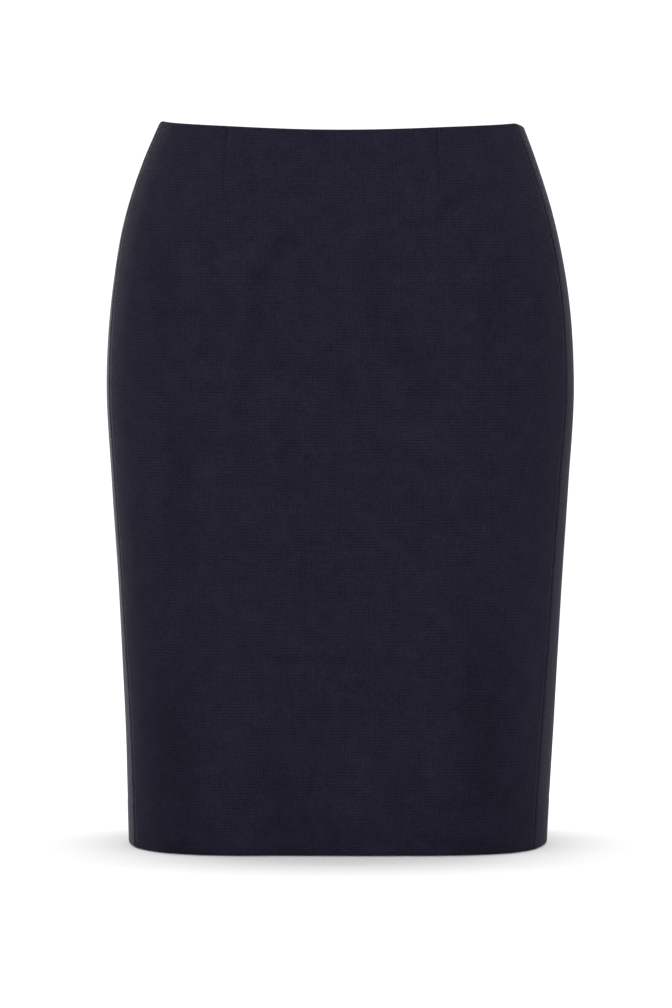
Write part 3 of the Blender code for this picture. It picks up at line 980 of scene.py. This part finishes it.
def threads(name, runs, radius, finish):
    """Lines of thread as tubes: each run is a row of points in metres."""
    data = bpy.data.curves.new(name, "CURVE")
    data.dimensions = "3D"
    data.bevel_depth = radius * MM
    data.bevel_resolution = 0
    data.use_fill_caps = True
    for run in runs:
        line = data.splines.new("POLY")
        line.points.add(len(run) - 1)
        line.points.foreach_set("co", np.column_stack([run, np.ones(len(run))]).ravel())
    obj = bpy.data.objects.new(name, data)
    bpy.context.scene.collection.objects.link(obj)
    only(obj)
    bpy.ops.object.convert(target="MESH")
    return finished(bpy.context.object, name, finish, crisp=80.0)


def overlock(edge, inset=UNDER):
    """The zigzag over a raw edge and the thread that runs along it. edge gives the way round and
    the level, at shares of the way along and so far in from the edge itself."""
    ends = np.array(edge(np.array([0.0, 1.0]), 0.0))
    count = 2 * int(np.ptp(ends, axis=1).max() / STITCH)
    share = np.linspace(0, 1, count + 1)
    inner = np.arange(count + 1) % 2
    lift = inset + CLOTH / 2 + 0.12
    runs = []
    for reach, raised in ((WIDE * inner, 0.05 * inner), (0.0, -0.1)):
        around, level = edge(share, reach)
        runs.append(place(around, dipped(level, around), lift + raised))
    return runs


def edge_down(line, width, low, high):
    """A raw edge that runs down the cloth, a width to one side of a line, + towards +X."""

    def edge(share, reach):
        level = low + (high - low) * share
        return line(level) + width - np.sign(width) * reach, level

    return edge


def edge_round(low, high, level, way):
    """A raw edge that runs round the cloth at one level. way is 1 where the cloth lies below it."""

    def edge(share, reach):
        return low + (high - low) * share, level + way * reach + 0 * share

    return edge


def make_overlocking(finish):
    """The overlocked raw edges of the three panels, as one piece each."""
    clear = 2.5  # how far before a side seam the overlocking round the cloth stops
    pressed = (WAIST_TURNING + 1.5, HEM_EDGE - 1.5)
    vented = (VENT_TOP + 1.0, BOTTOM - 3.0)
    reach = BY_SEAM[-1] + LIP

    def down_side(side, width):
        return overlock(edge_down(lambda level: side * side_seam(level), width, *pressed))

    runs = down_side(-1, reach) + down_side(1, -reach)
    for seam_level, level, way in ((LENGTH, HEM_EDGE, 1), (WAIST_TURNING, WAIST_TURNING, -1)):
        wide = float(side_seam(seam_level)) - clear
        runs += overlock(edge_round(-wide, wide, level, way))
    made = [threads("overlock_front", runs, THREAD_RADIUS, finish)]

    for hand, side in HANDS:
        centre_back = off_back(side, 0.0)

        def round_back(start, end, level, way, inset=UNDER):
            low, high = off_back(side, start)(level), off_back(side, end)(level)
            return overlock(edge_round(low, high, level, way), inset)

        at_hem, at_waist = (
            half_girth(level) - side_seam(level) - clear for level in (LENGTH, WAIST_TURNING)
        )
        waist = round_back(ALLOWANCE + 1.0, at_waist, WAIST_TURNING, -1)
        if side > 0:
            hem = round_back(VENT_FACING + 1.0, at_hem, HEM_EDGE, 1)
            vent = overlock(edge_down(centre_back, -side * VENT_FACING, *vented))
        else:
            hem = round_back(UNDERLAP_STEP, at_hem, HEM_EDGE, 1)
            hem += round_back(1.0 - UNDERLAP, 0.5, HEM_EDGE, 1, UNDER + UNDERLAP_INSET)
            vent = overlock(edge_down(centre_back, side * UNDERLAP, *vented), UNDERLAP_INSET)
        centre = overlock(edge_down(centre_back, -side * ALLOWANCE, 6.0, VENT_TOP - 2.0))
        runs = down_side(side, side * reach) + centre + hem + waist + vent
        made.append(threads(f"overlock_back_{hand}", runs, THREAD_RADIUS, finish))
    return made


def make_hem_stitches(finish):
    """Slanted hand stitches that catch the turned-up hem to the inside of the cloth."""
    seam, half = float(side_seam(HEM_EDGE)), float(half_girth(HEM_EDGE))
    clear = 16.0  # of each side seam
    stretches = (
        (-seam + clear, seam - clear),
        (seam + clear, half - VENT_FACING - 2),
        (-half + UNDERLAP_STEP + 4, -seam - clear),
    )
    across = np.array([0.0, 1.4, 2.8])
    level = HEM_EDGE + np.array([1.6, -0.2, -1.4])
    inset = np.array([UNDER + 0.75, UNDER + 0.7, CLOTH / 2 + 0.05])
    starts = np.concatenate([np.arange(low, high, 6.0) for low, high in stretches])
    runs = [place(start + across, level, inset) for start in starts]
    return threads("hem_stitches", runs, STITCH_RADIUS, finish)


# --- the zip ------------------------------------------------------------------------------------

COIL_PITCH = 1.25
COIL_TURN_POINTS = 10
COIL_RADIUS = 0.28  # of its strand
EYE = 1.25  # radius of the slider's eye, to the middle of its wire
EYE_WIRE = 0.45
TAB_FOOT = -18.6  # the middles of the pull's two round ends, from its pin
TAB_HEAD = -4.4
TAB_WIDE = 2.9  # their radii
TAB_NARROW = 1.9
TAB = 1.0  # its thickness
EAR = 1.2
EAR_OUT = 1.4
PIN = 0.5
PIN_LONG = 3.9


def make_tape(name, side, finish):
    """One side of the zip's tape, sewn flat behind the allowance."""
    levels = np.array(stepped((ZIP_TOP, MOUTH_HOLD, MOUTH_HOLD + MOUTH_CLOSE, ZIP_BOTTOM), 3.0))
    offsets = np.array((0.0, 0.4, 1.2, 2.4, 3.9, 5.4, 6.9, 8.4, 9.9, 11.1, 11.7, TAPE_WIDTH))
    level = levels[:, None] + 0 * offsets
    distance = mouth(level) + offsets
    ribbed = TAPE_INSET + 0.05 * np.sin(level * 2.1)
    points = on_cloth(off_back(side, distance), level, ribbed)
    return woven_sheet(name, points, (distance, level), TAPE, finish)


def make_coil(name, side, finish):
    """One of the two nylon spirals that mesh at the centre back, on the inside of its tape."""
    first, last = ZIP_TOP + 2.0, ZIP_BOTTOM - 8.0
    count = int((last - first) / COIL_PITCH * COIL_TURN_POINTS)
    level = np.linspace(first, last, count)
    turn = np.arange(count) * 2 * math.pi / COIL_TURN_POINTS + (math.pi if side > 0 else 0)
    distance = mouth(level) + 0.55 + 0.75 * np.cos(turn)
    inset = TAPE_INSET + TAPE / 2 + 0.85 + 0.55 * np.sin(turn)
    return threads(name, [on_cloth(off_back(side, distance), level, inset)], COIL_RADIUS, finish)


def make_zip_stitches(finish):
    """Machine stitches that hold each tape to its allowance, in two rows."""
    inset = TAPE_INSET + TAPE / 2 + np.array([-0.05, 0.12, 0.12, -0.05])
    runs = []
    for side in (-1, 1):
        for offset in (4.5, 10.4):
            for start in np.arange(ZIP_TOP + 3.0, ZIP_BOTTOM - 3.0, 3.0):
                level = start + np.array([0.0, 0.3, 2.0, 2.3])
                runs.append(on_cloth(off_back(side, mouth(level) + offset), level, inset))
    return threads("zip_stitches", runs, STITCH_RADIUS, finish)


def box_at(low, high):
    """A box between two corners, in millimetres."""
    low, high = np.array(low), np.array(high)
    middle, size = (low + high) / 2 * MM, (high - low) * MM
    return primitive(bpy.ops.mesh.primitive_cube_add, size=1, location=middle, scale=size)


def rod(radius, length, vertices):
    """A round rod along X, in millimetres."""
    return primitive(
        bpy.ops.mesh.primitive_cylinder_add,
        vertices=vertices,
        radius=radius * MM,
        depth=length * MM,
        rotation=(0, math.pi / 2, 0),
    )


def bevelled(obj, width, segments, sharp=math.radians(30)):
    """Rounds the edges where an object turns by more than an angle."""
    settings = {"limit_method": "ANGLE", "angle_limit": sharp}
    return applied(obj, "BEVEL", width=width * MM, segments=segments, **settings)


def pick(obj, test):
    """Goes into edit mode with the faces selected whose normal passes a test."""
    only(obj)
    select_in(obj.data, "polygons", [test(face.normal) for face in obj.data.polygons])


def inset_flats(obj, rim, thinner, centre=None):
    """Gives an object's front and back a raised rim: what is inside it is brought closer to a
    centre, or to the middle of the two faces, by a factor."""
    pick(obj, lambda normal: abs(normal.y) > 0.9)
    bpy.ops.mesh.inset(thickness=rim * MM, use_individual=True)
    about = {} if centre is None else {"center_override": centre}
    bpy.ops.transform.resize(value=(1.0, thinner, 1.0), **about)
    bpy.ops.object.mode_set(mode="OBJECT")


def seat_matrix(out):
    """Where the zip's metal sits: square to the cloth at the centre back, out from it."""
    hinge = Vector(frame["joints"][0]["pos_m"])
    depth = float(dipped(HINGE_BELOW_EDGE, half_girth(HINGE_BELOW_EDGE)))
    at = depth + np.array([-HINGE_BELOW_EDGE, HINGE_BELOW_EDGE])
    above, below = form_point(at, half_girth(at) - TURN)[1]
    turn = Matrix.Rotation(math.atan2(below - above, 2 * HINGE_BELOW_EDGE), 4, "X")
    return Matrix.Translation(hinge) @ turn @ Matrix.Translation((0, (out - HINGE_OUT) * MM, 0))


def make_slider(finish):
    """A flat body that wraps the coil inside the skirt, and a neck with an eye for the pull."""
    body = box_at((-3.5, -5.3, -5.0), (3.5, -2.3, 4.0))
    pick(body, lambda normal: normal.z < -0.9)
    bpy.ops.transform.resize(value=(0.72, 0.9, 1.0))
    bpy.ops.object.mode_set(mode="OBJECT")
    inset_flats(body, 0.9, 0.8)
    bevelled(body, 0.35, 3)
    neck = bevelled(box_at((-0.55, -3.0, -1.5), (0.55, 1.25, 1.5)), 0.2, 2)
    eye = primitive(
        bpy.ops.mesh.primitive_torus_add,
        location=(0, HINGE_OUT * MM, 0),
        rotation=(0, math.pi / 2, 0),
        major_segments=32,
        minor_segments=12,
        major_radius=EYE * MM,
        minor_radius=EYE_WIRE * MM,
    )
    slider = joined([body, neck, eye])
    slider.matrix_world = seat_matrix(0.0)
    return finished(slider, "slider", finish)


def make_pull(finish):
    """A drop-shaped tab with a raised rim, which hangs from a pin through the slider's eye."""
    foot = (0, 0, TAB_FOOT * MM)
    tab = primitive(
        bpy.ops.mesh.primitive_circle_add,
        vertices=48,
        radius=TAB_WIDE * MM,
        fill_type="NGON",
        location=foot,
        rotation=(math.pi / 2, 0, 0),
    )
    upper = [vert.co.z > (TAB_FOOT + 0.1) * MM for vert in tab.data.vertices]
    select_in(tab.data, "vertices", upper)
    narrower = TAB_NARROW / TAB_WIDE
    bpy.ops.transform.resize(value=(narrower, 1.0, narrower), center_override=foot)
    bpy.ops.transform.translate(value=(0, 0, (TAB_HEAD - TAB_FOOT) * MM))
    bpy.ops.object.mode_set(mode="OBJECT")
    applied(tab, "SOLIDIFY", thickness=TAB * MM, offset=0.0)
    inset_flats(tab, 0.55, 0.6, foot)
    bevelled(tab, 0.14, 2, 0.6)

    pieces = [tab]
    for side in (-1, 1):
        cheek = bevelled(box_at((-0.5, -0.45, TAB_HEAD), (0.5, 0.45, -0.4)), 0.18, 2)
        ear = bevelled(rod(EAR, 1.0, 32), 0.2, 3, 0.8)
        both = joined([cheek, ear])
        both.location.x = side * EAR_OUT * MM
        pieces.append(both)
    pull = joined([*pieces, rod(PIN, PIN_LONG, 24)])
    pull.matrix_world = seat_matrix(HINGE_OUT) @ Matrix.Rotation(PULL_REST_TILT, 4, "X")
    return finished(pull, "pull", finish)


# --- the studio ---------------------------------------------------------------------------------


SKY = 1.16
PAPER = (0.90, 0.90, 0.90, 1.0)
FLOOR_BELOW = 0.0006
FOCAL_LENGTH = 123.6
CAMERA_PLACE = (-0.004, -2.7, -0.2035)
CAMERA_DIP = 1.97  # degrees below level


def make_floor():
    """A wide white sweep, just under the hem."""
    place_ = (0, 0, CAD_BOX[0].z - FLOOR_BELOW)
    floor = primitive(bpy.ops.mesh.primitive_plane_add, size=14.0, location=place_)
    floor.name = "floor"
    made, tree, shader = new_material("paper")
    settle(tree, shader, {}, {"Base Color": PAPER, "Roughness": 0.9, "Specular IOR Level": 0.1})
    floor.data.materials.append(made)
    return floor


def make_lights(floor):
    """Two soft boxes that light the skirt alone, and a third, high over its back, that lights the
    floor alone."""
    floor_only = bpy.data.collections.new("lit_by_overhead")
    all_but_floor = bpy.data.collections.new("not_lit_by_soft_boxes")
    for group in (floor_only, all_but_floor):
        group.objects.link(floor)
    all_but_floor.collection_objects[0].light_linking.link_state = "EXCLUDE"
    for name, width, length, power, place_, target, lit in (
        ("key", 1.3, 1.3, 25.0, (-0.4, -1.65, 1.25), (0.0, 0.0, -0.15), all_but_floor),
        ("left_edge", 0.5, 0.5, 8.5, (-0.64, 0.95, -0.02), (-0.18, 0.0, -0.12), all_but_floor),
        ("overhead", 2.4, 0.52, 31.0, (0.0, 0.33, 2.44), (0.0, -0.09, -0.56), floor_only),
    ):
        light = bpy.data.lights.new(name, "AREA")
        light.shape = "ELLIPSE"
        light.size = width
        light.size_y = length
        light.energy = power
        soft_box = bpy.data.objects.new(name, light)
        soft_box.location = place_
        aim = Vector(target) - soft_box.location
        soft_box.rotation_euler = aim.to_track_quat("-Z", "Y").to_euler()
        soft_box.visible_camera = False
        soft_box.light_linking.receiver_collection = lit
        bpy.context.scene.collection.objects.link(soft_box)


def make_studio():
    """A white floor under an even white sky, and a camera level with the middle of the skirt."""
    scene = bpy.context.scene
    scene.view_settings.view_transform = "Standard"
    scene.world = bpy.data.worlds.new("studio")
    scene.world.use_nodes = True
    sky = scene.world.node_tree.nodes["Background"].inputs
    sky["Color"].default_value = (1.0, 1.0, 1.0, 1.0)
    sky["Strength"].default_value = SKY
    make_lights(make_floor())

    lens = bpy.data.cameras.new("camera")
    lens.lens = FOCAL_LENGTH
    lens.sensor_width = 36.0
    camera = bpy.data.objects.new("camera", lens)
    camera.location = CAMERA_PLACE
    camera.rotation_euler = (math.radians(90 - CAMERA_DIP), 0, 0)
    scene.collection.objects.link(camera)
    scene.camera = camera


# --- the skirt ----------------------------------------------------------------------------------


def main():
    cloth, tape, sewing, coil, metal = suiting(), tape_cloth(), thread(), nylon(), lacquer()
    front = make_front(cloth)
    back_left, back_right = (make_back(f"back_{hand}", side, cloth) for hand, side in HANDS)
    tucks = [
        make_tuck(f"tuck_{where}_{hand}", dart, side, cloth)
        for where, dart in (("front", FRONT_DART), ("back", BACK_DART))
        for hand, side in HANDS
    ]
    seams = [*make_overlocking(sewing), make_hem_stitches(sewing)]
    tapes = [make_tape(f"tape_{hand}", side, tape) for hand, side in HANDS]
    coils = [make_coil(f"coil_{hand}", side, coil) for hand, side in HANDS]
    zip_stitches = make_zip_stitches(sewing)
    slider = make_slider(metal)
    pull = make_pull(metal)

    for piece, node in (
        (front, "front_panel"),
        (back_left, "back_panel_left"),
        (back_right, "back_panel_right"),
        (tapes[0], "zip_tape_left"),
        (tapes[1], "zip_tape_right"),
        (slider, "zip_slider"),
        (pull, "zip_pull"),
    ):
        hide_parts(node)
    for pieces, body, slot in (
        ((front, back_left, back_right, *tucks, *seams), "skirt", "suiting"),
        ((*tapes, *coils, zip_stitches), "skirt", "zip_tape"),
        ((slider,), "skirt", "zip_lacquer"),
        ((pull,), "pull_tab", "zip_lacquer"),
    ):
        for piece in pieces:
            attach(piece, body)

    make_studio()


main()
